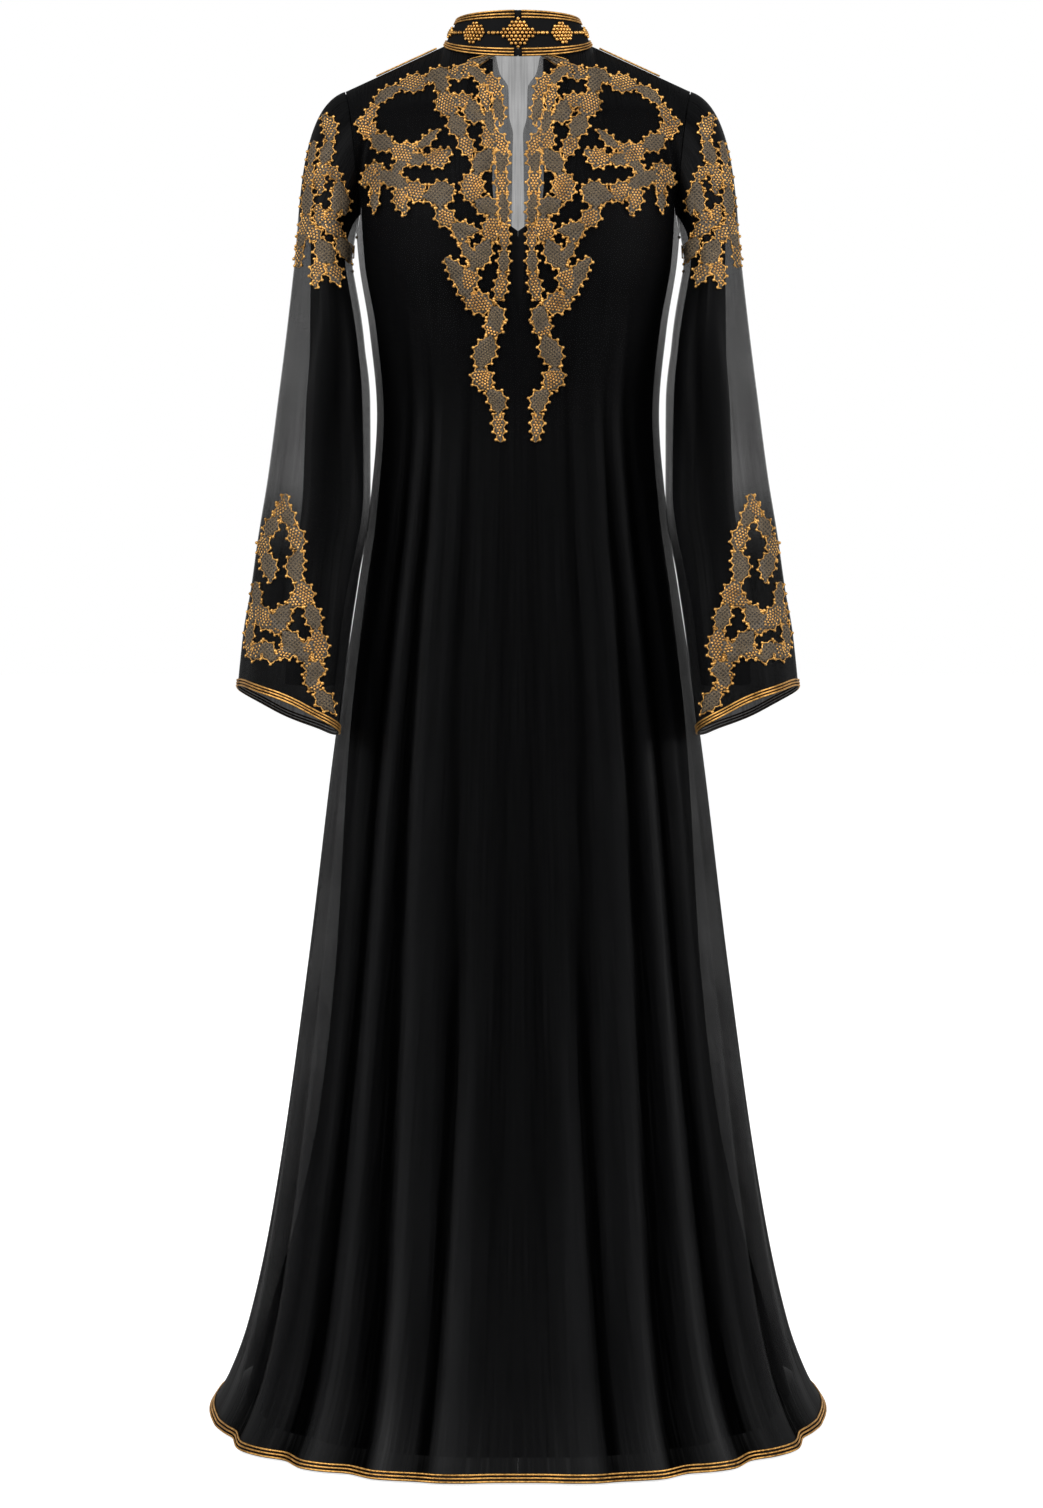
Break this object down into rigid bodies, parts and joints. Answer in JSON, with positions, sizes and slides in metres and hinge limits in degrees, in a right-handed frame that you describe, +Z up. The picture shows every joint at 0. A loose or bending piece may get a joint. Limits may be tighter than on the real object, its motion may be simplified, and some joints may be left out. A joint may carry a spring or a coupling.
{
  "type": "long robe, worn with no wearer",
  "caption": "Floor-length open-hem robe with bell sleeves, stand collar, sheer outer layer over a lining, beaded scrollwork and corded trims.",
  "frame": {"origin": "middle of the neck at the height where the shoulder seams meet the collar: the wearer holds the robe up there", "axes": "+Z up, the front faces -Y, +X is the wearer's left"},
  "size_m": [0.6472, 0.609, 1.4645],
  "materials": {
    "chiffon": "black sheer chiffon",
    "lining": "black matte lining",
    "gold_trim": "gold metallic cord",
    "applique": "gold beads and cord on mesh"
  },
  "bodies": {
    "root": {"front_left": "chiffon", "front_right": "chiffon", "back": "chiffon", "sleeve_left": "chiffon", "sleeve_right": "chiffon", "collar": "chiffon", "lining_front": "lining", "lining_back": "lining", "lining_sleeve_left": "lining", "lining_sleeve_right": "lining", "closing_tab_top": "lining", "closing_tab_seam": "lining", "hem_trim": "gold_trim", "cuff_trim_left": "gold_trim", "cuff_trim_right": "gold_trim", "collar_top_trim_left": "gold_trim", "collar_top_trim_right": "gold_trim", "collar_seam_trim_left": "gold_trim", "collar_seam_trim_right": "gold_trim", "shoulder_cord_left": "gold_trim", "shoulder_cord_right": "gold_trim", "front_applique_left": "applique", "front_applique_right": "applique", "cap_applique_left": "applique", "cap_applique_right": "applique", "cuff_applique_left": "applique", "cuff_applique_right": "applique", "medallion_front": "applique", "medallion_front_left": "applique", "medallion_front_right": "applique", "medallion_side_left": "applique", "medallion_side_right": "applique", "medallion_back_left": "applique", "medallion_back_right": "applique", "medallion_back": "applique"}
  },
  "joints": []
}
